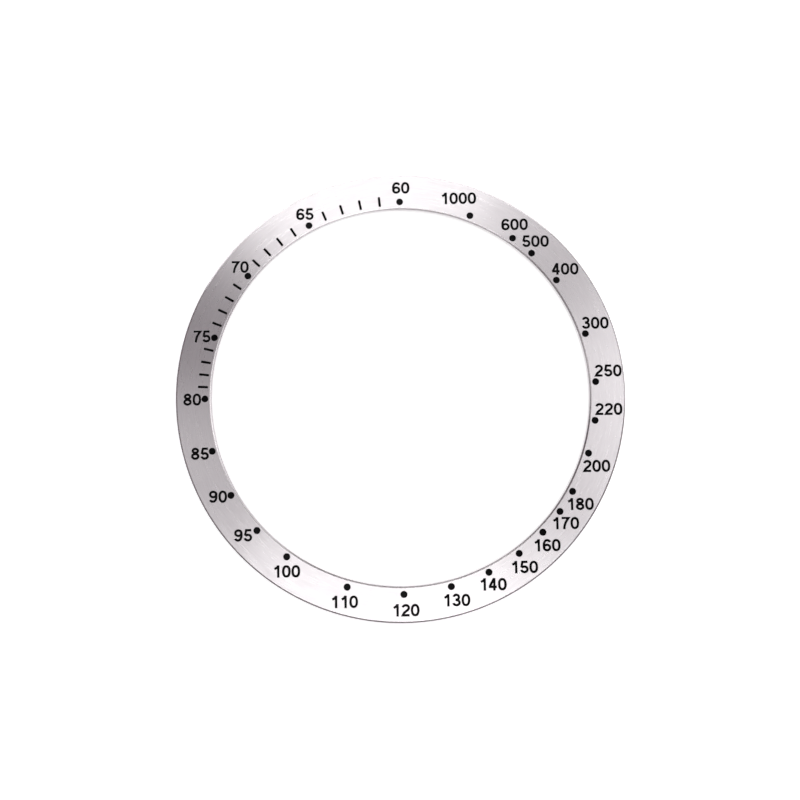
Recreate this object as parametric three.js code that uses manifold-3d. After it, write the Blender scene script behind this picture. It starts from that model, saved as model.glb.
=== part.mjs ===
// A flat steel ring for a chronograph bezel. The ring is engraved with a speed scale, black
// lacquer fills the engraving, and a double-sided film under the steel holds the ring in its seat.
// Millimetres, +Z up. The ring lies face up with 12 o'clock towards +Y, and the origin is the
// centre of the film's lower face.
import * as THREE from "three";
import { mergeVertices } from "three/addons/utils/BufferGeometryUtils.js";
import Module from "manifold-3d";

const wasm = await Module();
wasm.setup();

// Steel ring
const boreDiameter = 32;
const faceWidth = 3;
const steelThickness = 0.4;
const faceChamferWidth = 0.13;
const faceChamferDepth = 0.06;
const backChamfer = 0.05;

// Double-sided film under the steel
const filmThickness = 0.1;
const filmEdgeInset = 0.25;

// Engraving and its lacquer
const engravingDepth = 0.1;
const lacquerSinking = 0.02;
const lacquerSideGap = 0.01;
const cutterOverrun = 0.2;

// Scale marks, with their circles given by the distance from the bore
const dotDiameter = 0.58;
const dotCircleInset = 0.54;
const outerDotSpeeds = [60, 110, 120];
const outerDotShift = 0.1;
const tickLength = 0.85;
const tickWidth = 0.2;
const tickCircleInset = 0.73;

// Numerals, upright all round the ring and laid out to fill its face
const numeralHeightShare = 0.338;
const numeralCircleShare = 0.543;
const digitPitchShare = 0.775;
const penShare = 0.19;

// Fineness of the round shapes
const ringSteps = 120;
const dotSteps = 12;
const bendSteps = 5;
const degreesPerStep = 30;

const boreRadius = boreDiameter / 2;
const rimRadius = boreRadius + faceWidth;
const steelBack = filmThickness;
const steelFace = steelBack + steelThickness;
const engravingFloor = steelFace - engravingDepth;
const lacquerThickness = engravingDepth - lacquerSinking;
const numeralHeight = faceWidth * numeralHeightShare;
const numeralCircleRadius = boreRadius + faceWidth * numeralCircleShare;
const dotCircleRadius = boreRadius + dotCircleInset;
const tickCircleRadius = boreRadius + tickCircleInset;

// Each numbered mark: its speed, the angle of its dot, the angle of its numeral, and how far the
// numeral sits outside its circle as a share of its height. Angles are in degrees, clockwise from
// 12 o'clock, and the scale starts with a full turn.
const numberedMarks = [
  { speed: 60, dotAngle: 360.4, numeralAngle: 360.7, outShare: 0.24 },
  { speed: 65, dotAngle: 332.3, numeralAngle: 332.8, outShare: -0.03 },
  { speed: 70, dotAngle: 308.6, numeralAngle: 309.2, outShare: -0.06 },
  { speed: 75, dotAngle: 287.7, numeralAngle: 287.0, outShare: -0.02 },
  { speed: 80, dotAngle: 269.4, numeralAngle: 269.3, outShare: -0.02 },
  { speed: 85, dotAngle: 253.9, numeralAngle: 254.2, outShare: -0.04 },
  { speed: 90, dotAngle: 239.9, numeralAngle: 241.4, outShare: -0.1 },
  { speed: 95, dotAngle: 227.2, numeralAngle: 228.8, outShare: 0.02 },
  { speed: 100, dotAngle: 215.7, numeralAngle: 213.5, outShare: -0.08 },
  { speed: 110, dotAngle: 196.2, numeralAngle: 195.9, outShare: 0.24 },
  { speed: 120, dotAngle: 179.8, numeralAngle: 179.4, outShare: 0.3 },
  { speed: 130, dotAngle: 166.0, numeralAngle: 165.6, outShare: 0.09 },
  { speed: 140, dotAngle: 154.4, numeralAngle: 154.9, outShare: -0.06 },
  { speed: 150, dotAngle: 144.1, numeralAngle: 145.2, outShare: 0.06 },
  { speed: 160, dotAngle: 134.9, numeralAngle: 136.7, outShare: -0.1 },
  { speed: 170, dotAngle: 127.1, numeralAngle: 128.8, outShare: -0.15 },
  { speed: 180, dotAngle: 120.2, numeralAngle: 122.2, outShare: -0.03 },
  { speed: 200, dotAngle: 108.1, numeralAngle: 110.8, outShare: -0.11 },
  { speed: 220, dotAngle: 98.3, numeralAngle: 94.7, outShare: -0.02 },
  { speed: 250, dotAngle: 86.9, numeralAngle: 84.1, outShare: 0.06 },
  { speed: 300, dotAngle: 72.4, numeralAngle: 70.4, outShare: 0.02 },
  { speed: 400, dotAngle: 54.3, numeralAngle: 53.2, outShare: 0.1 },
  { speed: 500, dotAngle: 43.4, numeralAngle: 41.9, outShare: -0.08 },
  { speed: 600, dotAngle: 36.2, numeralAngle: 34.4, outShare: 0.0 },
  { speed: 1000, dotAngle: 21.8, numeralAngle: 17.0, outShare: 0.04 },
];

// Ticks stand at the whole speeds between the dots of this stretch
const tickedSpeeds = { from: 60, to: 80 };

// Points along an oval arc. Angles are in degrees, anticlockwise from +X. A power of 2 gives an
// ellipse, and a higher one squares its shoulders.
function oval({ centre, reach, from = 0, to = 360, power = 2 }) {
  const count = Math.ceil(Math.abs(to - from) / degreesPerStep);
  const squared = (value) => Math.sign(value) * Math.abs(value) ** (2 / power);
  return Array.from({ length: count + 1 }, (_, i) => {
    const angle = THREE.MathUtils.degToRad(from + ((to - from) * i) / count);
    const x = centre[0] + reach[0] * squared(Math.cos(angle));
    const y = centre[1] + reach[1] * squared(Math.sin(angle));
    return new THREE.Vector2(x, y);
  });
}

// Straight lines through the given points
function through(...points) {
  return points.map(([x, y]) => new THREE.Vector2(x, y));
}

// A curve between two points, drawn towards two handles
function bend(start, firstHandle, lastHandle, end) {
  const ends = [start, firstHandle, lastHandle, end].map(([x, y]) => new THREE.Vector2(x, y));
  return new THREE.CubicBezierCurve(...ends).getPoints(bendSteps);
}

// The pen's middle line where a stroke runs along the foot or the head of a digit
const footShare = penShare / 2;
const headShare = 1 - penShare / 2;

// Pen strokes of each digit as shares of its height, from the middle of its foot
const sixShares = [
  { closed: true, line: oval({ centre: [0.01, 0.315], reach: [0.25, 0.315 - footShare] }) },
  {
    line: oval({
      centre: [0.04, 0.5], reach: [0.285, headShare - 0.5], from: 38, to: 215, power: 2.2,
    }),
  },
];
const strokeShares = {
  0: [{ closed: true, line: oval({ centre: [0, 0.5], reach: [0.258, headShare - 0.5], power: 2.3 }) }],
  1: [
    { line: through([0.112, 0], [0.112, 1]) },
    { line: through([-0.2, 0.695], [0, 0.8], [0.1, 0.94]) },
  ],
  2: [
    {
      line: [
        ...oval({ centre: [0.01, 0.7], reach: [0.245, headShare - 0.7], from: 172, to: -22 }),
        ...bend([0.237, 0.613], [0.14, 0.42], [-0.235, 0.3], [-0.24, footShare]).slice(1, -2),
        ...through([-0.24, footShare], [0.31, footShare]),
      ],
    },
  ],
  3: [
    {
      line: [
        ...oval({ centre: [-0.01, 0.735], reach: [0.215, 0.196], from: 170, to: -90 }),
        ...through([-0.08, 0.539]),
      ],
    },
    {
      line: [
        ...through([-0.06, 0.531]),
        ...oval({ centre: [0, 0.3], reach: [0.25, 0.3 - footShare], from: 90, to: -172 }),
      ],
    },
  ],
  4: [
    { line: through([0.122, 0], [0.122, 1]) },
    { line: through([-0.325, 0.297], [0.32, 0.297]) },
    { line: through([-0.268, 0.3], [0.1, 0.965]) },
  ],
  5: [
    { line: through([0.27, 0.92], [-0.15, 0.92], [-0.235, 0.475]) },
    { line: oval({ centre: [0.005, 0.318], reach: [0.25, 0.318 - footShare], from: 147, to: -170 }) },
  ],
  6: sixShares,
  7: [
    {
      line: [
        ...through([-0.3, 0.92]),
        ...bend([0.27, 0.92], [0.08, 0.72], [-0.09, 0.4], [-0.11, 0]),
      ],
    },
  ],
  8: [
    { closed: true, line: oval({ centre: [0, 0.745], reach: [0.215, headShare - 0.745] }) },
    { closed: true, line: oval({ centre: [0, 0.29], reach: [0.25, 0.29 - footShare] }) },
  ],
  9: sixShares.map(({ closed, line }) => ({
    closed,
    line: line.map((point) => new THREE.Vector2(-point.x, 1 - point.y)),
  })),
};

// The middle line of a stroke moved sideways by a distance, with mitred corners
function sideOf(line, distance, closed) {
  const last = line.length - 1;
  const at = (i) => line[(i + line.length) % line.length];
  return line.map((point, i) => {
    const before = !closed && i === 0 ? at(1).clone().sub(point) : point.clone().sub(at(i - 1));
    const after = !closed && i === last ? before.clone() : at(i + 1).clone().sub(point);
    before.normalize();
    after.normalize();
    const across = new THREE.Vector2(-before.y - after.y, before.x + after.x).normalize();
    const miter = across.x * -before.y + across.y * before.x;
    return point.clone().addScaledVector(across, distance / miter);
  });
}

// The outline of one pen stroke
function strokeShape({ closed, line }) {
  if (!closed) {
    const left = sideOf(line, penShare / 2, false);
    const right = sideOf(line, -penShare / 2, false);
    return new THREE.Shape([...left, ...right.reverse()]);
  }
  const loop = line.slice(0, -1);
  const shape = new THREE.Shape(sideOf(loop, -penShare / 2, true));
  shape.holes.push(new THREE.Path(sideOf(loop, penShare / 2, true)));
  return shape;
}

// A closed geometry as a solid that can be joined and cut
function solidOf(geometry) {
  const bare = geometry.clone();
  bare.deleteAttribute("normal");
  bare.deleteAttribute("uv");
  const merged = mergeVertices(bare);
  const vertProperties = merged.attributes.position.array;
  const triVerts = new Uint32Array(merged.index.array);
  return new wasm.Manifold(new wasm.Mesh({ numProp: 3, vertProperties, triVerts }));
}

// A solid turned back into a geometry
function geometryOf(solid) {
  const { vertProperties, triVerts } = solid.getMesh();
  const geometry = new THREE.BufferGeometry();
  geometry.setAttribute("position", new THREE.BufferAttribute(vertProperties, 3));
  geometry.setIndex(new THREE.BufferAttribute(triVerts, 1));
  geometry.computeVertexNormals();
  return geometry;
}

// A ring turned about Z from a profile of [radius, height] corners, anticlockwise in that plane
function turnedRing(corners) {
  const profile = [...corners, corners[0]].map(([radius, height]) => new THREE.Vector2(radius, height));
  return new THREE.LatheGeometry(profile, ringSteps).rotateX(Math.PI / 2);
}

// A round button about Z, from its foot up
function roundButton(diameter, height) {
  const button = new THREE.CylinderGeometry(diameter / 2, diameter / 2, height, dotSteps);
  return button.rotateX(Math.PI / 2).translate(0, 0, height / 2);
}

// An upright bar, from its foot up
function bar(width, length, height) {
  return new THREE.BoxGeometry(width, length, height).translate(0, 0, height / 2);
}

// A point on the face at a radius and at an angle clockwise from 12 o'clock
function onRing(radius, degrees, height) {
  const angle = THREE.MathUtils.degToRad(degrees);
  return new THREE.Vector3(radius * Math.sin(angle), radius * Math.cos(angle), height);
}

// The foot of a dot. A few dots stand a little further out than the rest.
function dotPlace({ speed, dotAngle }) {
  const shift = outerDotSpeeds.includes(speed) ? outerDotShift : 0;
  return onRing(dotCircleRadius + shift, dotAngle, engravingFloor);
}

const steel = new THREE.MeshStandardMaterial({ color: 0xc9c5c7, metalness: 1, roughness: 0.32 });
const lacquer = new THREE.MeshStandardMaterial({ color: 0x0b0b0c, metalness: 0, roughness: 0.35 });
const film = new THREE.MeshStandardMaterial({ color: 0xb9b2a2, metalness: 0, roughness: 0.7 });

function meshOf(name, geometry, material) {
  const mesh = new THREE.Mesh(geometry, material);
  mesh.name = name;
  return mesh;
}

// Every speed that has a tick. Its place between two dots goes by one over the speed.
function tickMarks() {
  const { from, to } = tickedSpeeds;
  const dotted = numberedMarks.filter(({ speed }) => speed >= from && speed <= to);
  return dotted.slice(1).flatMap((after, i) => {
    const before = dotted[i];
    const count = after.speed - before.speed - 1;
    return Array.from({ length: count }, (_, k) => {
      const speed = before.speed + k + 1;
      const share = THREE.MathUtils.inverseLerp(1 / before.speed, 1 / after.speed, 1 / speed);
      return { speed, angle: THREE.MathUtils.lerp(before.dotAngle, after.dotAngle, share) };
    });
  });
}

// The cutters of one numeral, digit by digit
function numeralCutters({ speed, numeralAngle, outShare }) {
  const digits = String(speed).split("");
  const radius = numeralCircleRadius + numeralHeight * outShare;
  const centre = onRing(radius, numeralAngle, engravingFloor);
  const pitch = numeralHeight * digitPitchShare;
  return digits.flatMap((digit, i) => {
    const x = centre.x + (i - (digits.length - 1) / 2) * pitch;
    const y = centre.y - numeralHeight / 2;
    return strokeShares[digit].map((stroke) => {
      const depth = engravingDepth + cutterOverrun;
      const cutter = new THREE.ExtrudeGeometry(strokeShape(stroke), { depth, bevelEnabled: false });
      return cutter.scale(numeralHeight, numeralHeight, 1).translate(x, y, engravingFloor);
    });
  });
}

// The cutters of all dots and ticks, wider than the lacquer by its side gap
function markCutters() {
  const depth = engravingDepth + cutterOverrun;
  const sideGaps = 2 * lacquerSideGap;
  const dots = numberedMarks.map((mark) => {
    const place = dotPlace(mark);
    return roundButton(dotDiameter + sideGaps, depth).translate(place.x, place.y, place.z);
  });
  const ticks = tickMarks().map(({ angle }) => {
    const place = onRing(tickCircleRadius, angle, engravingFloor);
    const cutter = bar(tickWidth + sideGaps, tickLength + sideGaps, depth);
    cutter.rotateZ(-THREE.MathUtils.degToRad(angle));
    return cutter.translate(place.x, place.y, place.z);
  });
  return [...dots, ...ticks];
}

// The steel ring: a washer with chamfered edges and the whole scale engraved in its face
function insertRing() {
  const blank = turnedRing([
    [boreRadius + backChamfer, steelBack],
    [rimRadius - backChamfer, steelBack],
    [rimRadius, steelBack + backChamfer],
    [rimRadius, steelFace - faceChamferDepth],
    [rimRadius - faceChamferWidth, steelFace],
    [boreRadius + faceChamferWidth, steelFace],
    [boreRadius, steelFace - faceChamferDepth],
    [boreRadius, steelBack + backChamfer],
  ]);
  const cutters = [...markCutters(), ...numberedMarks.flatMap(numeralCutters)];
  const engraving = wasm.Manifold.union(cutters.map(solidOf));
  return meshOf("insert_ring", geometryOf(solidOf(blank).subtract(engraving)), steel);
}

// The film that sticks the steel to its seat, held back from both edges
function adhesiveRing() {
  const ring = turnedRing([
    [boreRadius + filmEdgeInset, 0],
    [rimRadius - filmEdgeInset, 0],
    [rimRadius - filmEdgeInset, filmThickness],
    [boreRadius + filmEdgeInset, filmThickness],
  ]);
  return meshOf("adhesive_ring", ring, film);
}

// Lacquer dots and ticks, each standing on the floor of its own recess
function lacquerMarks() {
  const marks = new THREE.Group();
  for (const mark of numberedMarks) {
    const dot = meshOf(`lacquer_dot_${mark.speed}`, roundButton(dotDiameter, lacquerThickness), lacquer);
    dot.position.copy(dotPlace(mark));
    marks.add(dot);
  }
  for (const { speed, angle } of tickMarks()) {
    const tick = meshOf(`lacquer_tick_${speed}`, bar(tickWidth, tickLength, lacquerThickness), lacquer);
    tick.position.copy(onRing(tickCircleRadius, angle, engravingFloor));
    tick.rotation.z = -THREE.MathUtils.degToRad(angle);
    marks.add(tick);
  }
  return marks;
}

const bezelInsert = new THREE.Group();
bezelInsert.add(insertRing(), adhesiveRing(), lacquerMarks());

export default bezelInsert;
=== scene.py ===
"""A flat steel ring for a chronograph bezel, brushed round its axis and engraved with a speed scale.

Black lacquer fills the engraving, and a die-cut adhesive film under the steel holds the ring in its
seat. Metres, +Z up. The ring lies face up with 12 o'clock towards +Y.
"""

import math

import bmesh
import bpy
import numpy as np
from mathutils import Matrix, Vector
from mathutils.geometry import delaunay_2d_cdt


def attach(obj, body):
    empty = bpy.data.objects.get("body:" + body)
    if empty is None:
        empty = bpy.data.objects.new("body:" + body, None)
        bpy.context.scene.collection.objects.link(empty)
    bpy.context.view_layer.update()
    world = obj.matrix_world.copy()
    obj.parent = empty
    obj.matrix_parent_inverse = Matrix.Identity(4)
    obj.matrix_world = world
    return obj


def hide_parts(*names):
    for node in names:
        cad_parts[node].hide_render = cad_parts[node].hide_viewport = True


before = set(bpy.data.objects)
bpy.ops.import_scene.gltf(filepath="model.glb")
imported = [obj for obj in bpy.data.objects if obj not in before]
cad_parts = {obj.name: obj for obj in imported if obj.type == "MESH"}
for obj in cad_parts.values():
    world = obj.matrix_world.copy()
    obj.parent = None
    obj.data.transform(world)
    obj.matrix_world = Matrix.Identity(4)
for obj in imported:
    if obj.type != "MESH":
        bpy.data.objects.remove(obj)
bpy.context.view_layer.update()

MM = 0.001

# Steel ring
bore_radius = 16 * MM
face_width = 3 * MM
rim_radius = bore_radius + face_width
film_thickness = 0.1 * MM
steel_back = film_thickness
steel_face = steel_back + 0.4 * MM
face_chamfer_width = 0.13 * MM
face_chamfer_depth = 0.06 * MM
back_chamfer = 0.05 * MM
arris_radius = 0.02 * MM

# Adhesive film
film_edge_inset = 0.25 * MM
film_edge_round = 0.03 * MM
film_edge_wobble = 0.012 * MM

# Engraving and its lacquer
engraving_depth = 0.1 * MM
engraving_floor = steel_face - engraving_depth
lip_radius = 0.012 * MM
lacquer_gap = 0.002 * MM
lacquer_rim_sinking = 0.005 * MM
lacquer_sinking = 0.02 * MM
meniscus_width = 0.03 * MM

# Scale marks
dot_radius = 0.29 * MM
dot_circle_radius = bore_radius + 0.54 * MM
outer_dot_speeds = (60, 110, 120)
outer_dot_shift = 0.1 * MM
tick_length = 0.85 * MM
tick_width = 0.2 * MM
tick_corner_radius = 0.05 * MM
tick_circle_radius = bore_radius + 0.73 * MM
last_ticked_speed = 79

# Numerals, upright all round the ring
numeral_height = 1.014 * MM
numeral_circle_radius = bore_radius + 1.629 * MM
digit_pitch_share = 0.775
pen_share = 0.19
foot_share = pen_share / 2
head_share = 1 - pen_share / 2

# Fineness
ring_steps = 360
dot_steps = 48
tick_corner_steps = 4
degrees_per_step = 10
bend_steps = 9
arris_steps = 3
shortest_side_share = 0.028
uncrowding_rounds = 4
corner_straightness = math.cos(math.radians(20))
sharpest_mitre = 0.4
sharp_degrees = 35
level_normal = 0.9999
merge_distance = 0.0001 * MM
area_tolerance = 1e-7

# Brushing, unevenness and relief of the finishes
brush_line_width = 0.05 * MM
brush_line_length = 1.2 * MM
steel_cloud_size = 2.5 * MM
steel_relief = 0.004 * MM
lacquer_cloud_size = 0.25 * MM
lacquer_relief = 0.01 * MM
tissue_cloud_size = 0.35 * MM
tissue_relief = 0.01 * MM

# Colours of the finishes
steel_dark_streak = (0.665, 0.645, 0.655)
steel_bright_streak = (0.785, 0.765, 0.775)
steel_cloud = (0.72, 0.68, 0.7)
steel_scratch = (0.86, 0.85, 0.86)
# The bore chamfer's colour is painted shade: darker steel standing in for the shade that the bore's
# chamfer mirrors.
steel_bore_chamfer_painted_shade = (0.4, 0.385, 0.39)
lacquer_black = (0.001, 0.001, 0.0012)
lacquer_paler_black = (0.004, 0.004, 0.0045)
lacquer_dust = (0.05, 0.05, 0.05)
tissue_soaked = (0.56, 0.51, 0.42)
tissue_pale = (0.68, 0.64, 0.56)
tissue_fibre = (0.78, 0.75, 0.69)
tissue_bubble = (0.48, 0.44, 0.36)

# Camera: its angles in degrees from straight above, and what it aims at beside the face's middle
camera_lens = 37.28
camera_distance = 70 * MM
camera_lean = 4.88
camera_side_lean = 0.23
camera_roll = -0.72
camera_aim = (-0.064 * MM, -0.465 * MM, 0)

# Studio
table_reach = 3.0
table_drop = 0.005 * MM
table_colour = (0.85, 0.85, 0.85)
table_white_near = 0.5
table_white_mirrored = 0.4
table_white_grows_from = 0.1
table_white_grows_to = 0.5
room_above = (0.2, 0.174, 0.189)
room_below = (0.8, 0.8, 0.8)
lamp_distance = 0.6

# Each lamp: its azimuth clockwise from 12 o'clock and its elevation in degrees, its width and
# height, and its radiance.
lamps = {
    "softbox_12": (353, 66, 0.26, 0.16, 3.03),
    "low_strip_12": (352, 20, 1.21, 0.25, 1.57),
    "wide_softbox_2": (65, 47, 0.5, 0.6, 0.74),
    "softbox_4": (115, 67, 0.63, 0.16, 1.88),
    "softbox_6": (192, 70, 0.3, 0.22, 2.09),
    "softbox_7": (203, 77, 0.95, 0.16, 0.87),
}

# Each numbered mark: its speed, the angle of its dot, the angle of its numeral, and how far the
# numeral sits outside its circle as a share of its height. Degrees run clockwise from 12 o'clock,
# and the scale starts with a full turn.
numbered_marks = [
    (60, 360.4, 360.7, 0.24),
    (65, 332.3, 332.8, -0.03),
    (70, 308.6, 309.2, -0.06),
    (75, 287.7, 287.0, -0.02),
    (80, 269.4, 269.3, -0.02),
    (85, 253.9, 254.2, -0.04),
    (90, 239.9, 241.4, -0.1),
    (95, 227.2, 228.8, 0.02),
    (100, 215.7, 213.5, -0.08),
    (110, 196.2, 195.9, 0.24),
    (120, 179.8, 179.4, 0.3),
    (130, 166.0, 165.6, 0.09),
    (140, 154.4, 154.9, -0.06),
    (150, 144.1, 145.2, 0.06),
    (160, 134.9, 136.7, -0.1),
    (170, 127.1, 128.8, -0.15),
    (180, 120.2, 122.2, -0.03),
    (200, 108.1, 110.8, -0.11),
    (220, 98.3, 94.7, -0.02),
    (250, 86.9, 84.1, 0.06),
    (300, 72.4, 70.4, 0.02),
    (400, 54.3, 53.2, 0.1),
    (500, 43.4, 41.9, -0.08),
    (600, 36.2, 34.4, 0.0),
    (1000, 21.8, 17.0, 0.04),
]


# Pen lines of the digits


def through(*points):
    """Straight lines through the given points."""
    return np.array(points, float)


def oval(centre, reach, start=0, end=360, power=2):
    """An oval arc: centre plus reach times (cos t, sin t), each to the power of 2 / power, sign kept."""
    count = math.ceil(abs(end - start) / degrees_per_step)
    t = np.radians(np.linspace(start, end, count + 1))
    wave = np.stack([np.cos(t), np.sin(t)], 1)
    return np.array(centre) + np.array(reach) * np.sign(wave) * np.abs(wave) ** (2 / power)


def bend(start, first_handle, last_handle, end):
    """A cubic curve from start to end, with the weights (1-s)^3, 3(1-s)^2 s, 3(1-s) s^2 and s^3."""
    s = np.linspace(0, 1, bend_steps + 1)[:, None]
    weights = [(1 - s) ** 3, 3 * (1 - s) ** 2 * s, 3 * (1 - s) * s**2, s**3]
    return sum(w * np.array(p) for w, p in zip(weights, (start, first_handle, last_handle, end)))


def digit_lines():
    """Middle lines of each digit's pen strokes as shares of its height, from the middle of its foot.
    Each comes with True where it closes on itself."""
    six = [
        (oval((0.01, 0.315), (0.25, 0.315 - foot_share))[:-1], True),
        (oval((0.04, 0.5), (0.285, head_share - 0.5), 38, 215, 2.2), False),
    ]
    two = np.concatenate([
        oval((0.01, 0.7), (0.245, head_share - 0.7), 172, -22),
        bend((0.237, 0.613), (0.14, 0.42), (-0.235, 0.3), (-0.24, foot_share))[1:-3],
        through((-0.24, foot_share), (0.31, foot_share)),
    ])
    three = [
        np.concatenate([oval((-0.01, 0.735), (0.215, 0.196), 170, -90), through((-0.08, 0.539))]),
        np.concatenate([through((-0.06, 0.531)), oval((0, 0.3), (0.25, 0.3 - foot_share), 90, -172)]),
    ]
    seven = np.concatenate([
        through((-0.3, 0.92)),
        bend((0.27, 0.92), (0.08, 0.72), (-0.09, 0.4), (-0.11, 0)),
    ])
    return {
        "0": [(oval((0, 0.5), (0.258, head_share - 0.5), power=2.3)[:-1], True)],
        "1": [
            (through((0.112, 0), (0.112, 1)), False),
            (through((-0.2, 0.695), (0, 0.8), (0.1, 0.94)), False),
        ],
        "2": [(two, False)],
        "3": [(line, False) for line in three],
        "4": [
            (through((0.122, 0), (0.122, 1)), False),
            (through((-0.325, 0.297), (0.32, 0.297)), False),
            (through((-0.268, 0.3), (0.1, 0.965)), False),
        ],
        "5": [
            (through((0.27, 0.92), (-0.15, 0.92), (-0.235, 0.475)), False),
            (oval((0.005, 0.318), (0.25, 0.318 - foot_share), 147, -170), False),
        ],
        "6": six,
        "7": [(seven, False)],
        "8": [
            (oval((0, 0.745), (0.215, head_share - 0.745))[:-1], True),
            (oval((0, 0.29), (0.25, 0.29 - foot_share))[:-1], True),
        ],
        "9": [(np.array([0, 1]) - line * np.array([1, 1]), closed) for line, closed in six],
    }


# Flat areas and the loops round them


def sideways(line, distance, closed):
    """A line moved to its left by a distance, with mitred corners."""
    along = np.roll(line, -1, 0) - line
    if not closed:
        along[-1] = along[-2]
    along /= np.linalg.norm(along, axis=1)[:, None]
    before = np.roll(along, 1, 0)
    if not closed:
        before[0] = along[0]
    across = np.stack([-along[:, 1] - before[:, 1], along[:, 0] + before[:, 0]], 1)
    turn = 1 + (along * before).sum(1)
    return line + distance * across / np.maximum(turn, sharpest_mitre)[:, None]


def stroke_area(lines):
    """The quads between the two sides of each pen stroke, as points and polygons."""
    points = []
    polygons = []
    for line, closed in lines:
        count = len(line)
        here = np.arange(count if closed else count - 1)
        there = (here + 1) % count
        first = sum(len(p) for p in points)
        quads = first + np.stack([count + here, count + there, there, here], 1)
        polygons += quads.tolist()
        points += [sideways(line, pen_share / 2, closed), sideways(line, -pen_share / 2, closed)]
    return np.concatenate(points), polygons


def loops_of(triangles, count):
    """Orders the edges that only one triangle has into loops, with the area on their left. A point's
    place in its loop is its number of steps to the loop's lowest point, found by doubling the step."""
    edges = np.concatenate([triangles[:, [0, 1]], triangles[:, [1, 2]], triangles[:, [2, 0]]])
    there = edges[:, 0] * count + edges[:, 1]
    back = edges[:, 1] * count + edges[:, 0]
    rim = edges[~np.isin(there, back)]
    step = np.arange(count)
    step[rim[:, 0]] = rim[:, 1]
    lowest = np.arange(count)
    jump = step.copy()
    for _ in range(count.bit_length()):
        lowest = np.minimum(lowest, lowest[jump])
        jump = jump[jump]
    at_lowest = lowest == np.arange(count)
    jump = np.where(at_lowest, np.arange(count), step)
    steps_left = np.where(at_lowest, 0, 1)
    for _ in range(count.bit_length()):
        steps_left = steps_left + steps_left[jump]
        jump = jump[jump]
    on_rim = rim[:, 0]
    order = on_rim[np.lexsort((-steps_left[on_rim], lowest[on_rim]))]
    return np.split(order, np.flatnonzero(np.diff(lowest[order])) + 1)


def joined(points, polygons):
    """The loops round the area that a set of overlapping polygons covers."""
    made = delaunay_2d_cdt(points.tolist(), [], polygons, 0, area_tolerance)
    points = np.array(made[0], float)
    triangles = np.array([face for face, sources in zip(made[2], made[5]) if sources])
    a, b, c = (points[triangles[:, k]] for k in range(3))
    clockwise = (b - a)[:, 0] * (c - a)[:, 1] < (b - a)[:, 1] * (c - a)[:, 0]
    triangles[clockwise] = triangles[clockwise][:, ::-1]
    return [points[loop] for loop in loops_of(triangles, len(points))]


def uncrowded(line, shortest):
    """A closed line whose corners have no neighbour nearer than the shortest side. Of two points
    that crowd each other, the one that turns less is left out."""
    for _ in range(uncrowding_rounds):
        side = np.roll(line, -1, 0) - line
        length = np.linalg.norm(side, axis=1)
        along = side / length[:, None]
        straightness = (along * np.roll(along, 1, 0)).sum(1)
        after = np.roll(straightness, -1)
        crowded = (length < shortest) & (np.minimum(straightness, after) < corner_straightness)
        first_goes = crowded & (straightness > after)
        second_goes = np.roll(crowded & (straightness <= after), 1)
        line = line[~(first_goes | second_goes)]
    return line


def encircled(line):
    """Twice the area inside a closed line, negative where the line runs clockwise."""
    after = np.roll(line, -1, 0)
    return np.sum(line[:, 0] * after[:, 1] - line[:, 1] * after[:, 0])


def filled(loops):
    """Triangles of the flat area that lies to the left of all its loops. Returns its points, its
    triangles and the loops as lists of point numbers. An anticlockwise loop adds its inside and a
    clockwise one takes it away, so the area is where the sum is 1."""
    ends = np.cumsum([0, *map(len, loops)])
    numbers = [np.arange(start, end) for start, end in zip(ends, ends[1:])]
    layers = [1 if encircled(loop) > 0 else -1 for loop in loops]
    polygons = [(n if layer > 0 else n[::-1]).tolist() for n, layer in zip(numbers, layers)]
    points = np.concatenate(loops)
    made = delaunay_2d_cdt((points / MM).tolist(), [], polygons, 0, area_tolerance)
    source = np.array([sources[0] for sources in made[3]])
    inside = [sum(layers[polygon] for polygon in polygons_here) == 1 for polygons_here in made[5]]
    triangles = np.array([face for face, is_inside in zip(made[2], inside) if is_inside])
    return points, source[triangles], numbers


def dot_loop():
    """A circle of unit radius."""
    t = np.linspace(0, 2 * np.pi, dot_steps, endpoint=False)
    return np.stack([np.cos(t), np.sin(t)], 1)


def tick_loop():
    """A bar along +Y with rounded corners: each corner's middle plus the corner radius times
    (cos t, sin t)."""
    quarter = np.radians(np.linspace(0, 90, tick_corner_steps + 1))
    t = quarter[None, :] + np.radians([0, 90, 180, 270])[:, None]
    middle = np.array([[1, 1], [-1, 1], [-1, -1], [1, -1]]) * (
        np.array([tick_width, tick_length]) / 2 - tick_corner_radius
    )
    points = middle[:, None] + tick_corner_radius * np.stack([np.cos(t), np.sin(t)], -1)
    return points.reshape(-1, 2)


def on_ring(radius, degrees):
    """A point of the face at a radius and at an angle clockwise from 12 o'clock."""
    angle = math.radians(degrees)
    return np.array([radius * math.sin(angle), radius * math.cos(angle)])


def placed(loops, place, scale=1, degrees=0):
    """The area inside some loops that are scaled, turned clockwise and moved to their place."""
    angle = math.radians(degrees)
    turn = np.array([[math.cos(angle), -math.sin(angle)], [math.sin(angle), math.cos(angle)]])
    return filled([loop * scale @ turn + place for loop in loops])


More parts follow.
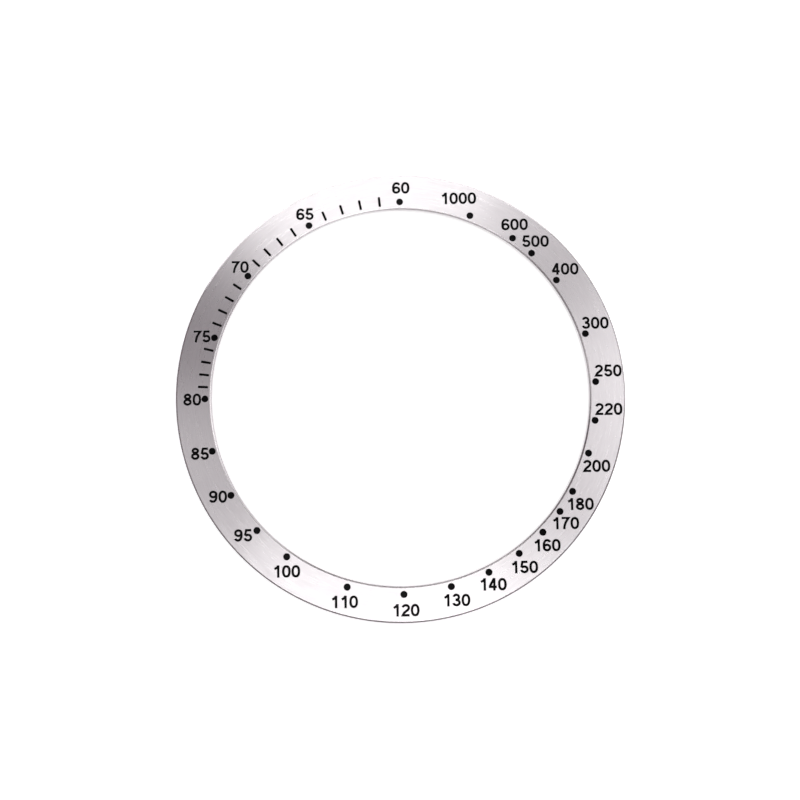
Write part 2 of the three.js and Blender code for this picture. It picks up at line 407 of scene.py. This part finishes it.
def scale_marks():
    """Every engraved mark by the name of its lacquer, as a list of areas in the face's plane."""
    outlines = {
        digit: [uncrowded(loop, shortest_side_share) for loop in joined(*stroke_area(lines))]
        for digit, lines in digit_lines().items()
    }
    pitch = numeral_height * digit_pitch_share
    marks = {}
    for speed, dot_angle, numeral_angle, out_share in numbered_marks:
        shift = outer_dot_shift if speed in outer_dot_speeds else 0
        place = on_ring(dot_circle_radius + shift, dot_angle)
        marks[f"dot_{speed}"] = [placed([dot_loop()], place, dot_radius)]
        digits = str(speed)
        middle = on_ring(numeral_circle_radius + numeral_height * out_share, numeral_angle)
        foot = middle - np.array([(len(digits) - 1) / 2 * pitch, numeral_height / 2])
        marks[f"numeral_{speed}"] = [
            placed(outlines[digit], foot + np.array([i * pitch, 0]), numeral_height)
            for i, digit in enumerate(digits)
        ]
    for (before, start_angle, *_), (after, end_angle, *_) in zip(numbered_marks, numbered_marks[1:]):
        if after <= last_ticked_speed + 1:
            for speed in range(before + 1, after):
                share = (1 / before - 1 / speed) / (1 / before - 1 / after)
                angle = start_angle + share * (end_angle - start_angle)
                place = on_ring(tick_circle_radius, angle)
                marks[f"tick_{speed}"] = [placed([tick_loop()], place, degrees=angle)]
    return marks


# Surfaces


def raised(points, height):
    """Points of a plane put at a height."""
    return np.column_stack([points, np.full(len(points), height)])


def grid_quads(rows, columns):
    """Quads between neighbouring rows of a grid whose columns close on themselves."""
    row, column = np.meshgrid(np.arange(rows - 1), np.arange(columns), indexing="ij")
    beside = (column + 1) % columns
    corners = [row * columns + column, row * columns + beside]
    corners += [(row + 1) * columns + beside, (row + 1) * columns + column]
    return np.stack(corners, -1).reshape(-1, 4)


def carried_round(loop, profile):
    """A profile of (distance to the right of the loop, height) carried along a closed loop."""
    rows = [raised(sideways(loop, -distance, True), height) for distance, height in profile]
    return np.concatenate(rows), grid_quads(len(profile), len(loop))


def turned(profile, wobble=0):
    """A profile of (radius, height) turned about Z: (radius cos t, radius sin t, height). The radius
    swells and shrinks by 0.7 of the wobble in five waves and by 0.3 of it in seventeen."""
    t = np.linspace(0, 2 * np.pi, ring_steps, endpoint=False)
    swell = wobble * (0.7 * np.sin(5 * t + 0.4) + 0.3 * np.sin(17 * t + 1.3))
    radius = profile[:, :1] + swell
    height = np.broadcast_to(profile[:, 1:], radius.shape)
    points = np.stack([radius * np.cos(t), radius * np.sin(t), height], -1).reshape(-1, 3)
    return points, grid_quads(len(profile), ring_steps)


def eased(corners, radius):
    """A line with each inner corner rounded: on the arc that touches both sides at radius times
    tan(half the turn) from the corner."""
    corners = np.array(corners)
    parts = [corners[:1]]
    for before, corner, after in zip(corners, corners[1:], corners[2:]):
        to_before = (before - corner) / np.linalg.norm(before - corner)
        to_after = (after - corner) / np.linalg.norm(after - corner)
        half_turn = (math.pi - math.acos(np.clip(to_before @ to_after, -1, 1))) / 2
        middle_way = (to_before + to_after) / np.linalg.norm(to_before + to_after)
        centre = corner + middle_way * radius / math.cos(half_turn)
        sweep = np.linspace(-half_turn, half_turn, arris_steps + 1)[:, None]
        chord = (to_after - to_before) / np.linalg.norm(to_after - to_before)
        parts.append(centre - radius * (middle_way * np.cos(sweep) - chord * np.sin(sweep)))
    return np.concatenate([*parts, corners[-1:]])


def rounded_lip(radius, floor):
    """From the face over a quarter round into a straight wall, as (distance outwards, height)."""
    t = np.linspace(0, np.pi / 2, arris_steps + 1)
    distance = radius * (1 - np.sin(t))
    height = steel_face - radius * (1 - np.cos(t))
    return [*zip(distance, height), (0, floor)]


def edge_level_faces(mesh):
    """Makes the borders of all level faces sharp, so that their shading stays level up to there."""
    normals = np.empty(3 * len(mesh.polygons), np.float32)
    corners = np.empty(len(mesh.polygons), np.int32)
    edges = np.empty(len(mesh.loops), np.int32)
    sharp = np.empty(len(mesh.edges), bool)
    mesh.polygons.foreach_get("normal", normals)
    mesh.polygons.foreach_get("loop_total", corners)
    mesh.loops.foreach_get("edge_index", edges)
    mesh.edges.foreach_get("use_edge_sharp", sharp)
    level = np.abs(normals[2::3]) > level_normal
    level_sides = np.bincount(edges, np.repeat(level, corners), len(mesh.edges))
    mesh.edges.foreach_set("use_edge_sharp", sharp | (level_sides == 1))


def mesh_piece(name, patches, material):
    """One closed piece from patches of (points, faces). Their shared points are merged, all faces
    point outwards, and edges that turn by more than sharp_degrees stay sharp."""
    points = []
    faces = []
    for patch_points, patch_faces in patches:
        faces += (patch_faces + sum(len(p) for p in points)).tolist()
        points.append(patch_points)
    mesh = bpy.data.meshes.new(name)
    mesh.from_pydata(np.concatenate(points).tolist(), [], faces)
    shape = bmesh.new()
    shape.from_mesh(mesh)
    bmesh.ops.remove_doubles(shape, verts=shape.verts, dist=merge_distance)
    bmesh.ops.recalc_face_normals(shape, faces=shape.faces)
    shape.to_mesh(mesh)
    shape.free()
    mesh.shade_smooth()
    mesh.set_sharp_from_angle(angle=math.radians(sharp_degrees))
    edge_level_faces(mesh)
    mesh.materials.append(material)
    piece = bpy.data.objects.new(name, mesh)
    bpy.context.scene.collection.objects.link(piece)
    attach(piece, "root")
    return piece


# Pieces


def steel_ring(marks, material):
    """The washer: its section turned about Z, its face as a flat area with a hole for each mark's
    lip, and in each hole the lip, the wall and the floor of the engraving."""
    face_start = arris_radius / 2
    section = eased(
        [
            (bore_radius + face_chamfer_width + face_start, steel_face),
            (bore_radius + face_chamfer_width, steel_face),
            (bore_radius, steel_face - face_chamfer_depth),
            (bore_radius, steel_back + back_chamfer),
            (bore_radius + back_chamfer, steel_back),
            (rim_radius - back_chamfer, steel_back),
            (rim_radius, steel_back + back_chamfer),
            (rim_radius, steel_face - face_chamfer_depth),
            (rim_radius - face_chamfer_width, steel_face),
            (rim_radius - face_chamfer_width - face_start, steel_face),
        ],
        arris_radius,
    )
    patches = [turned(section)]
    t = np.linspace(0, 2 * np.pi, ring_steps, endpoint=False)
    round_line = np.stack([np.cos(t), np.sin(t)], 1)
    borders = [round_line * section[-1, 0], round_line[::-1] * section[0, 0]]
    lip = rounded_lip(lip_radius, engraving_floor)
    for areas in marks.values():
        for points, triangles, loops in areas:
            patches.append((raised(points, engraving_floor), triangles))
            for loop in loops:
                patches.append(carried_round(points[loop], lip))
                borders.append(sideways(points[loop], -lip_radius, True)[::-1])
    points, triangles, _ = filled(borders)
    patches.append((raised(points, steel_face), triangles))
    ring = mesh_piece("brushed_ring", patches, material)
    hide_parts("insert_ring")


def lacquer_fill(name, areas, material):
    """Pools of lacquer for the areas of one mark. Each has straight walls, a rim that creeps up the
    engraving's wall, a hollow meniscus beside it, and a flat middle."""
    t = np.linspace(0, 1, arris_steps + 2)
    inwards = lacquer_gap + meniscus_width * t
    hollow = lacquer_rim_sinking + (lacquer_sinking - lacquer_rim_sinking) * (1 - (1 - t) ** 2)
    profile = [(-lacquer_gap, engraving_floor + lacquer_gap), *zip(-inwards, steel_face - hollow)]
    patches = []
    for points, triangles, loops in areas:
        bottom = points.copy()
        top = points.copy()
        for loop in loops:
            patches.append(carried_round(points[loop], profile))
            bottom[loop] = sideways(points[loop], -profile[0][0], True)
            top[loop] = sideways(points[loop], -profile[-1][0], True)
        patches.append((raised(bottom, profile[0][1]), triangles[:, ::-1]))
        patches.append((raised(top, profile[-1][1]), triangles))
    return mesh_piece(name, patches, material)


def adhesive_film(material):
    """The film: a flat band turned about Z whose die-cut edges wander a little."""
    inner = bore_radius + film_edge_inset
    outer = rim_radius - film_edge_inset
    section = eased(
        [
            ((inner + outer) / 2, 0),
            (inner, 0),
            (inner, film_thickness),
            (outer, film_thickness),
            (outer, 0),
            ((inner + outer) / 2, 0),
        ],
        film_edge_round,
    )
    film = mesh_piece("die_cut_film", [turned(section, film_edge_wobble)], material)
    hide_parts("adhesive_ring")


# Node helpers


def put(tree, kind, inputs=None, **settings):
    """Adds a shader node. An input is set to a plain value, or linked where the value is a socket."""
    added = tree.nodes.new("ShaderNode" + kind)
    for key, value in settings.items():
        setattr(added, key, value)
    for key, value in (inputs or {}).items():
        if isinstance(value, bpy.types.NodeSocket):
            tree.links.new(value, added.inputs[key])
        else:
            added.inputs[key].default_value = value
    return added


def calc(tree, operation, *values):
    """A Math node's result."""
    return put(tree, "Math", dict(enumerate(values)), operation=operation).outputs[0]


def blend(tree, factor, low, high):
    """A value that goes from low to high with the factor."""
    return put(tree, "MapRange", {"Value": factor, "To Min": low, "To Max": high}).outputs["Result"]


def tint(tree, factor, low, high):
    """A colour that goes from low to high with the factor."""
    mix = put(tree, "Mix", {"Factor": factor}, data_type="RGBA")
    for socket, value in ((mix.inputs[6], low), (mix.inputs[7], high)):
        if isinstance(value, bpy.types.NodeSocket):
            tree.links.new(value, socket)
        else:
            socket.default_value = (*value, 1)
    return mix.outputs[2]


def node_group(name, inputs, outputs):
    """An empty shader group with named inputs, their values and named outputs. An input without a
    value is a vector."""
    tree = bpy.data.node_groups.new(name, "ShaderNodeTree")
    for label, value in inputs.items():
        kind = "NodeSocketVector" if value is None else "NodeSocketFloat"
        socket = tree.interface.new_socket(label, in_out="INPUT", socket_type=kind)
        if value is not None:
            socket.default_value = value
    for label in outputs:
        tree.interface.new_socket(label, in_out="OUTPUT", socket_type="NodeSocketFloat")
    return tree, tree.nodes.new("NodeGroupInput").outputs, tree.nodes.new("NodeGroupOutput").inputs


def use_group(tree, group, inputs):
    """Places a shader group in a material and returns its outputs."""
    return put(tree, "Group", inputs, node_tree=group).outputs


# Effects that the materials share


def turning_marks_group():
    """Lines left by brushing or cutting round Z. The noise is read at (x / r, y / r) times the turns
    per line and at the way across the lines, so a line follows its circle and meets its own start."""
    tree, given, out = node_group(
        "turning marks",
        {"Vector": None, "Line Width": brush_line_width, "Line Length": brush_line_length},
        ["Lines", "Bands"],
    )
    place = put(tree, "SeparateXYZ", {0: given["Vector"]}).outputs
    x_squared = calc(tree, "MULTIPLY", place["X"], place["X"])
    y_squared = calc(tree, "MULTIPLY", place["Y"], place["Y"])
    radius = calc(tree, "SQRT", calc(tree, "ADD", x_squared, y_squared))
    reach = calc(tree, "DIVIDE", rim_radius, given["Line Length"])
    along = calc(tree, "DIVIDE", reach, radius)
    across = calc(tree, "MULTIPLY_ADD", place["Z"], 1.6, radius)
    for label, wider, detail in (("Lines", 1, 2.5), ("Bands", 5, 1.5)):
        spread = calc(tree, "DIVIDE", along, math.sqrt(wider))
        vector = put(tree, "CombineXYZ", {
            "X": calc(tree, "MULTIPLY", place["X"], spread),
            "Y": calc(tree, "MULTIPLY", place["Y"], spread),
            "Z": calc(tree, "DIVIDE", across, calc(tree, "MULTIPLY", given["Line Width"], wider)),
        }).outputs[0]
        noise = put(tree, "TexNoise", {"Vector": vector, "Scale": 1, "Detail": detail, "Roughness": 0.6})
        tree.links.new(noise.outputs[0], out[label])
    return tree


def hairlines_group():
    """Sparse hair scratches from handling: where a noise stretched along one direction passes its
    middle value closely, and another noise allows it."""
    tree, given, out = node_group("hair scratches", {"Vector": None, "Amount": 0.5}, ["Scratches"])
    total = 0.0
    for turn, size in ((25, 900), (100, 1300), (155, 700)):
        laid = put(tree, "Mapping", {"Vector": given["Vector"], "Scale": (size, size * 0.04, size)})
        laid.inputs["Rotation"].default_value = (0, 0, math.radians(turn))
        noise = put(tree, "TexNoise", {"Vector": laid.outputs[0], "Scale": 1, "Detail": 1})
        away = calc(tree, "ABSOLUTE", calc(tree, "SUBTRACT", noise.outputs[0], 0.5))
        line = put(tree, "MapRange", {"Value": away, "From Max": 0.004, "To Min": 1, "To Max": 0})
        total = calc(tree, "MAXIMUM", total, line.outputs[0])
    patch = put(tree, "TexNoise", {"Vector": given["Vector"], "Scale": 450, "Detail": 2})
    allowed = put(tree, "MapRange", {"Value": patch.outputs[0], "From Min": 0.5, "From Max": 0.62})
    shown = calc(tree, "MULTIPLY", calc(tree, "MULTIPLY", total, allowed.outputs[0]), given["Amount"])
    tree.links.new(shown, out["Scratches"])
    return tree


def mottle_group():
    """Soft unevenness at a given size, and specks on it."""
    tree, given, out = node_group("mottle", {"Vector": None, "Size": 1 * MM}, ["Clouds", "Specks"])
    scale = calc(tree, "DIVIDE", 1, given["Size"])
    clouds = put(tree, "TexNoise", {"Vector": given["Vector"], "Scale": scale, "Detail": 3})
    closer = calc(tree, "MULTIPLY", scale, 2)
    cells = put(tree, "TexVoronoi", {"Vector": given["Vector"], "Scale": closer})
    specks = put(tree, "MapRange", {
        "Value": cells.outputs["Distance"],
        "From Min": 0.05,
        "From Max": 0.16,
        "To Min": 1,
        "To Max": 0,
    })
    tree.links.new(clouds.outputs[0], out["Clouds"])
    tree.links.new(specks.outputs[0], out["Specks"])
    return tree


# Materials


def new_material(name):
    """A material with its node tree and the object's own coordinates."""
    material = bpy.data.materials.new(name)
    material.use_nodes = True
    tree = material.node_tree
    place = put(tree, "TexCoord").outputs["Object"]
    return material, tree, tree.nodes["Principled BSDF"], place


def brushed_steel(marks, scratches, mottle):
    """Stainless steel brushed round its axis. The brushing lines show as fine light and dark streaks,
    and their tangent runs round Z. The chamfers are cut smoother than the face, and the bore's
    chamfer is darkened with painted shade."""
    material, tree, surface, place = new_material("brushed steel")
    line = use_group(tree, marks, {
        "Vector": place,
        "Line Width": brush_line_width,
        "Line Length": brush_line_length,
    })
    scratch = use_group(tree, scratches, {"Vector": place, "Amount": 0.12})["Scratches"]
    cloud = use_group(tree, mottle, {"Vector": place, "Size": steel_cloud_size})["Clouds"]
    fine = calc(tree, "MULTIPLY", line["Lines"], 0.65)
    broad = calc(tree, "MULTIPLY", line["Bands"], 0.35)
    streaks = calc(tree, "ADD", fine, broad)
    even = put(tree, "MapRange", {"Value": streaks, "From Min": 0.3, "From Max": 0.7}).outputs[0]
    colour = tint(tree, even, steel_dark_streak, steel_bright_streak)
    colour = tint(tree, calc(tree, "MULTIPLY", cloud, 0.25), colour, steel_cloud)
    colour = tint(tree, calc(tree, "MULTIPLY", scratch, 0.5), colour, steel_scratch)
    plan = put(tree, "VectorMath", {0: place, 1: (1, 1, 0)}, operation="MULTIPLY").outputs[0]
    radius = put(tree, "VectorMath", {0: plan}, operation="LENGTH").outputs["Value"]
    outwards = calc(tree, "SUBTRACT", radius, bore_radius + face_width / 2)
    face_reach = face_width / 2 - face_chamfer_width
    cut = put(tree, "MapRange", {
        "Value": calc(tree, "ABSOLUTE", outwards),
        "From Min": face_reach - arris_radius,
        "From Max": face_reach + arris_radius / 2,
    }).outputs[0]
    off_the_wall = put(tree, "MapRange", {
        "Value": radius,
        "From Min": bore_radius,
        "From Max": bore_radius + arris_radius,
    }).outputs[0]
    # Painted shade on the bore's chamfer: it is mixed halfway towards a darker steel colour.
    bore_side = calc(tree, "MULTIPLY", off_the_wall, calc(tree, "LESS_THAN", outwards, 0))
    painted_bore_shade = calc(tree, "MULTIPLY", bore_side, cut)
    colour = tint(tree, calc(tree, "MULTIPLY", painted_bore_shade, 0.5), colour, steel_bore_chamfer_painted_shade)
    tree.links.new(colour, surface.inputs["Base Color"])
    rough = blend(tree, even, 0.32, 0.26)
    rough = calc(tree, "SUBTRACT", rough, calc(tree, "MULTIPLY", cut, 0.09))
    tree.links.new(rough, surface.inputs["Roughness"])
    surface.inputs["Metallic"].default_value = 1
    surface.inputs["Anisotropic"].default_value = 0.85
    surface.inputs["Anisotropic Rotation"].default_value = 0.25
    round_axis = put(tree, "VectorMath", {0: (0, 0, 1), 1: place}, operation="CROSS_PRODUCT").outputs[0]
    tangent = put(tree, "VectorMath", {0: round_axis}, operation="NORMALIZE").outputs[0]
    tree.links.new(tangent, surface.inputs["Tangent"])
    relief = calc(tree, "SUBTRACT", streaks, calc(tree, "MULTIPLY", scratch, 0.6))
    bump = put(tree, "Bump", {"Height": relief, "Strength": 0.25, "Distance": steel_relief})
    tree.links.new(bump.outputs[0], surface.inputs["Normal"])
    return material


def black_lacquer(scratches, mottle):
    """Black stoving lacquer with very little gloss, never quite even, with dust specks and hair
    scratches."""
    material, tree, surface, place = new_material("black lacquer")
    uneven = use_group(tree, mottle, {"Vector": place, "Size": lacquer_cloud_size})
    scratch = use_group(tree, scratches, {"Vector": place, "Amount": 0.4})["Scratches"]
    colour = tint(tree, uneven["Clouds"], lacquer_black, lacquer_paler_black)
    colour = tint(tree, calc(tree, "MULTIPLY", uneven["Specks"], 0.1), colour, lacquer_dust)
    tree.links.new(colour, surface.inputs["Base Color"])
    rough = blend(tree, uneven["Clouds"], 0.1, 0.22)
    tree.links.new(calc(tree, "MULTIPLY_ADD", scratch, 0.2, rough), surface.inputs["Roughness"])
    surface.inputs["Specular IOR Level"].default_value = 0.05
    bump = put(tree, "Bump", {"Height": uneven["Clouds"], "Strength": 0.3, "Distance": lacquer_relief})
    tree.links.new(bump.outputs[0], surface.inputs["Normal"])
    return material


def adhesive_tissue(mottle):
    """The film: a tissue soaked with clear adhesive, with crossing fibres and small trapped bubbles."""
    material, tree, surface, place = new_material("adhesive tissue")
    uneven = use_group(tree, mottle, {"Vector": place, "Size": tissue_cloud_size})
    fibres = 0.0
    for turn in (20, 80, 140):
        laid = put(tree, "Mapping", {"Vector": place, "Scale": (9000, 900, 9000)})
        laid.inputs["Rotation"].default_value = (0, 0, math.radians(turn))
        noise = put(tree, "TexNoise", {"Vector": laid.outputs[0], "Scale": 1, "Detail": 1})
        strand = put(tree, "MapRange", {"Value": noise.outputs[0], "From Min": 0.58, "From Max": 0.7})
        fibres = calc(tree, "MAXIMUM", fibres, strand.outputs[0])
    colour = tint(tree, uneven["Clouds"], tissue_soaked, tissue_pale)
    colour = tint(tree, calc(tree, "MULTIPLY", fibres, 0.5), colour, tissue_fibre)
    colour = tint(tree, calc(tree, "MULTIPLY", uneven["Specks"], 0.3), colour, tissue_bubble)
    tree.links.new(colour, surface.inputs["Base Color"])
    tree.links.new(blend(tree, fibres, 0.45, 0.75), surface.inputs["Roughness"])
    relief = calc(tree, "SUBTRACT", fibres, calc(tree, "MULTIPLY", uneven["Specks"], 0.8))
    bump = put(tree, "Bump", {"Height": relief, "Strength": 0.4, "Distance": tissue_relief})
    tree.links.new(bump.outputs[0], surface.inputs["Normal"])
    return material


# Studio


def studio_floor():
    """A white table top that keeps the ring's shadow. Seen directly or mirrored in the steel, it gets
    a share of plain white on top of the light that falls on it. The share that is seen directly grows
    away from the ring. From below the table is clear, and it is clear to diffuse light too, so that
    the film's underside is lit through it."""
    material = bpy.data.materials.new("white table")
    material.use_nodes = True
    tree = material.node_tree
    tree.nodes.remove(tree.nodes["Principled BSDF"])
    rays = put(tree, "LightPath").outputs
    mirrored = calc(tree, "MAXIMUM", rays["Is Glossy Ray"], rays["Is Transmission Ray"])
    place = put(tree, "TexCoord").outputs["Object"]
    away = put(tree, "VectorMath", {0: place}, operation="LENGTH").outputs["Value"]
    added = put(tree, "MapRange", {
        "Value": away,
        "From Min": table_white_grows_from,
        "From Max": table_white_grows_to,
        "To Min": table_white_near,
    }).outputs[0]
    direct = calc(tree, "MULTIPLY", rays["Is Camera Ray"], added)
    seen = calc(tree, "MULTIPLY_ADD", mirrored, table_white_mirrored, direct)
    lit = put(tree, "BsdfDiffuse", {"Color": (*table_colour, 1)}).outputs[0]
    white = put(tree, "Emission", {"Strength": seen}).outputs[0]
    top = put(tree, "AddShader", {0: lit, 1: white}).outputs[0]
    clear = put(tree, "BsdfTransparent").outputs[0]
    back = put(tree, "NewGeometry").outputs["Backfacing"]
    passed = calc(tree, "MAXIMUM", back, rays["Is Diffuse Ray"])
    both = put(tree, "MixShader", {0: passed, 1: top, 2: clear}).outputs[0]
    tree.links.new(both, tree.nodes["Material Output"].inputs["Surface"])
    mesh = bpy.data.meshes.new("table")
    sides = [(-1, -1), (1, -1), (1, 1), (-1, 1)]
    corners = [(x * table_reach, y * table_reach, -table_drop) for x, y in sides]
    mesh.from_pydata(corners, [], [(0, 1, 2, 3)])
    mesh.materials.append(material)
    table = bpy.data.objects.new("table", mesh)
    bpy.context.scene.collection.objects.link(table)


def studio_world():
    """White where it is seen. As a source of light it is an even grey room above the table and an
    even white one below it."""
    world = bpy.data.worlds.new("studio")
    bpy.context.scene.world = world
    world.use_nodes = True
    tree = world.node_tree
    rays = put(tree, "LightPath").outputs
    seen = rays["Is Camera Ray"]
    way = put(tree, "TexCoord").outputs["Generated"]
    upwards = put(tree, "SeparateXYZ", {0: way}).outputs["Z"]
    above = calc(tree, "GREATER_THAN", upwards, 0)
    colour = tint(tree, above, room_below, room_above)
    room = put(tree, "Background", {"Color": colour}).outputs[0]
    white = put(tree, "Background", {"Color": (1, 1, 1, 1), "Strength": 1}).outputs[0]
    shown = put(tree, "MixShader", {0: seen, 1: room, 2: white}).outputs[0]
    tree.links.new(shown, tree.nodes["World Output"].inputs["Surface"])


def softbox(name, azimuth, elevation, width, height, radiance):
    """A rectangular lamp that faces the ring from the lamps' distance."""
    lamp = bpy.data.lights.new(name, "AREA")
    lamp.shape = "RECTANGLE"
    lamp.size = width
    lamp.size_y = height
    lamp.energy = radiance * math.pi * width * height
    turn = math.radians(azimuth)
    rise = math.radians(elevation)
    way = Vector((math.sin(turn) * math.cos(rise), math.cos(turn) * math.cos(rise), math.sin(rise)))
    box = bpy.data.objects.new(name, lamp)
    box.location = way * lamp_distance
    box.rotation_euler = way.to_track_quat("Z", "Y").to_euler()
    bpy.context.scene.collection.objects.link(box)


def overhead_camera():
    """A camera almost straight above, leaning towards 6 o'clock and turned a little on its axis."""
    data = bpy.data.cameras.new("camera")
    data.lens = camera_lens
    data.clip_start = 1 * MM
    middle = Vector((0, 0, steel_face))
    side_lean = math.radians(camera_side_lean)
    lean = math.radians(camera_lean)
    away = Vector((-math.sin(side_lean), -math.sin(lean), 0))
    away.z = math.sqrt(1 - away.length_squared)
    place = middle + camera_distance * away
    aim = middle + Vector(camera_aim)
    back = (place - aim).normalized()
    right = Vector((0, 1, 0)).cross(back).normalized()
    upright = Matrix((right, back.cross(right), back)).transposed().to_4x4()
    roll = Matrix.Rotation(math.radians(camera_roll), 4, "Z")
    camera = bpy.data.objects.new("camera", data)
    camera.matrix_world = Matrix.Translation(place) @ upright @ roll
    bpy.context.scene.collection.objects.link(camera)
    bpy.context.scene.camera = camera


turning_marks = turning_marks_group()
hairlines = hairlines_group()
mottled = mottle_group()
steel = brushed_steel(turning_marks, hairlines, mottled)
lacquer = black_lacquer(hairlines, mottled)
tissue = adhesive_tissue(mottled)

engraved = scale_marks()
steel_ring(engraved, steel)
adhesive_film(tissue)
for mark, mark_areas in engraved.items():
    fill = lacquer_fill(f"fill_{mark}", mark_areas, lacquer)
    if f"lacquer_{mark}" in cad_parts:
        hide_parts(f"lacquer_{mark}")

overhead_camera()
studio_floor()
studio_world()
for lamp_name, lamp_values in lamps.items():
    softbox(lamp_name, *lamp_values)

bpy.context.scene.view_settings.view_transform = "Standard"
